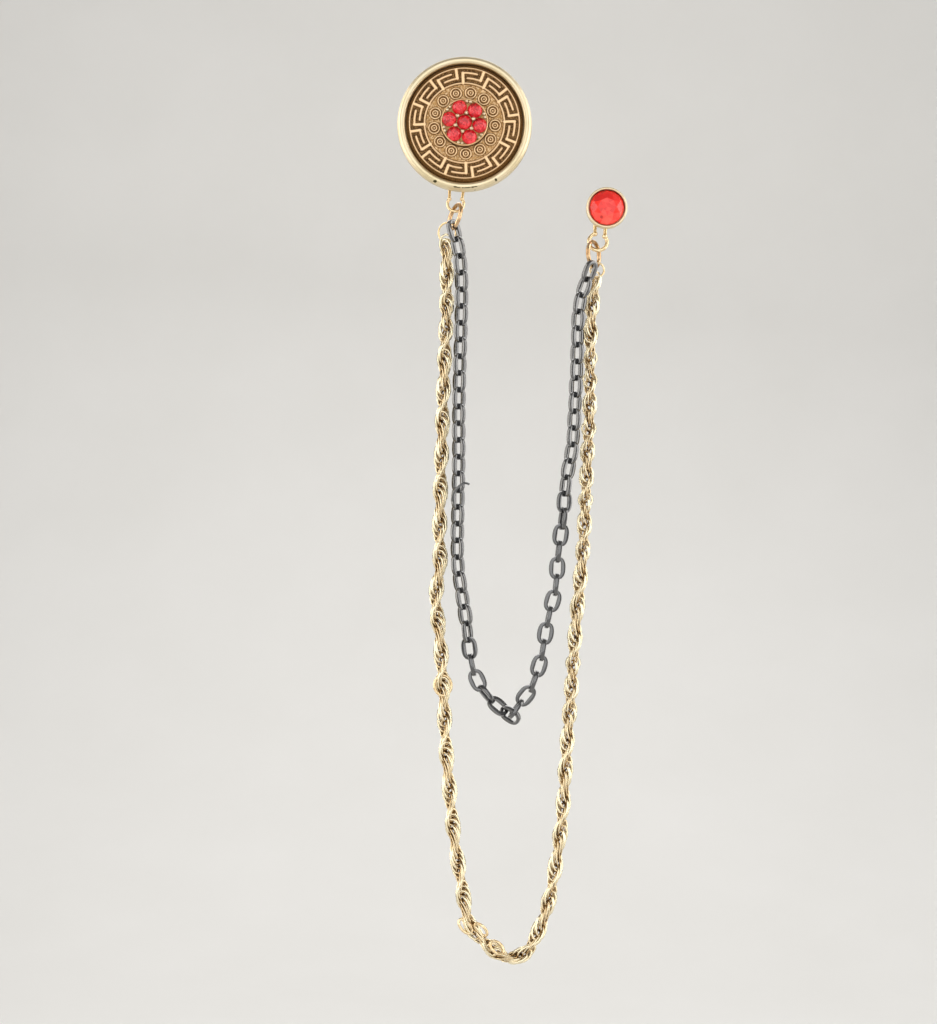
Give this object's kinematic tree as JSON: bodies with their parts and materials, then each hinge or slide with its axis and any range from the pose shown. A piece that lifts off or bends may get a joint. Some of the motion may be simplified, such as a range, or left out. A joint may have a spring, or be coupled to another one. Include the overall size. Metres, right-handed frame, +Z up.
{
  "type": "lapel chain with a medallion and a stud",
  "caption": "Lapel chain: a round medallion and a small stone stud on pin posts, joined by a long gold rope chain and a shorter black cable chain.",
  "frame": {"origin": "middle of the medallion's back, where its post goes through the cloth", "axes": "+Z up along the hanging chains, +X to the viewer's right from medallion to stud, -Y out of the cloth toward the viewer"},
  "size_m": [0.0478, 0.0145, 0.1888],
  "materials": {
    "pale_gold": "pale gold plate, satin polish",
    "antique_gold": "gold plate with dark brown patina in the recesses",
    "yellow_gold": "gold plate, polished",
    "rose_gold": "darker red gold, polished",
    "red_stone": "faceted red glass, foiled back",
    "coral_stone": "faceted coral red glass, foiled back",
    "black_enamel": "glossy black lacquer"
  },
  "bodies": {
    "root": {"medallion_cup": "pale_gold", "medallion_plate": "antique_gold", "medallion_back": "yellow_gold", "flower_disc": "pale_gold", "flower_stone_1": "red_stone", "flower_stone_2": "red_stone", "flower_stone_3": "red_stone", "flower_stone_4": "red_stone", "flower_stone_5": "red_stone", "flower_stone_6": "red_stone", "flower_stone_7": "red_stone", "stud_bezel": "pale_gold", "stud_stone": "coral_stone", "stud_back": "yellow_gold", "jump_ring_left": "rose_gold", "jump_ring_right": "rose_gold", "rope_ring_left": "yellow_gold", "rope_ring_right": "yellow_gold", "gold_rope_1": "yellow_gold", "gold_rope_2": "yellow_gold", "gold_rope_3": "yellow_gold", "gold_rope_4": "yellow_gold", "gold_rope_5": "yellow_gold", "gold_rope_6": "yellow_gold", "gold_rope_7": "yellow_gold", "gold_rope_8": "yellow_gold", "gold_rope_9": "yellow_gold", "gold_rope_10": "yellow_gold", "black_chain_1": "black_enamel", "black_chain_2": "black_enamel", "black_chain_3": "black_enamel", "black_chain_4": "black_enamel", "black_chain_5": "black_enamel", "black_chain_6": "black_enamel", "black_chain_7": "black_enamel", "black_chain_8": "black_enamel", "black_bottom_link": "black_enamel"}
  },
  "joints": []
}
